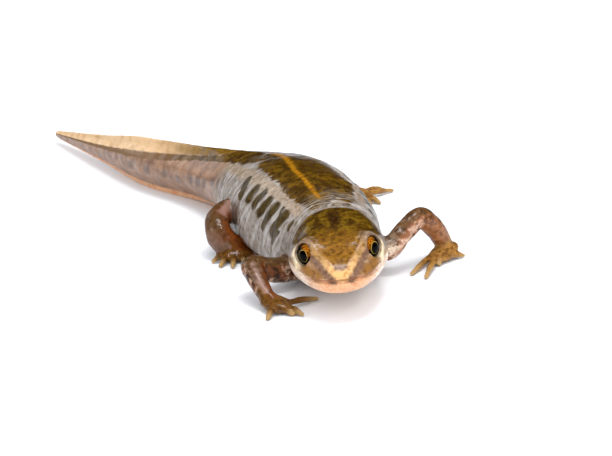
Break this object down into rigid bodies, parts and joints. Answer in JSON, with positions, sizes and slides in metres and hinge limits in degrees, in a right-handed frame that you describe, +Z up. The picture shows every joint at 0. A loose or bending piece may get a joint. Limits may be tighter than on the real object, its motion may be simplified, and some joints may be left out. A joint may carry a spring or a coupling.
{
  "type": "smooth newt",
  "caption": "Life-size still model of a smooth newt walking with its head turned to the viewer, belly and tail on the ground and limbs spread",
  "frame": {"origin": "middle of the outer box at floor level, under the trunk", "axes": "+Z up, +Y from the snout to the tail tip, so the head faces -Y; the newt's left side is towards +X"},
  "size_m": [0.0258, 0.0686, 0.0084],
  "materials": {
    "back": "wet, smooth",
    "tail": "wet, smooth",
    "limb": "wet, smooth",
    "digit": "wet, smooth",
    "iris": "gloss"
  },
  "bodies": {
    "root": {"head": "back", "neck": "back", "chest": "back", "belly": "back", "pelvis": "back", "tail_root": "tail", "tail_middle": "tail", "tail_end": "tail", "upper_arm_left": "limb", "upper_arm_right": "limb", "forearm_left": "limb", "forearm_right": "limb", "thigh_left": "limb", "thigh_right": "limb", "shin_left": "limb", "shin_right": "limb", "hand_left": "digit", "hand_right": "digit", "foot_left": "digit", "foot_right": "digit", "eye_left": "iris", "eye_right": "iris"}
  },
  "joints": []
}
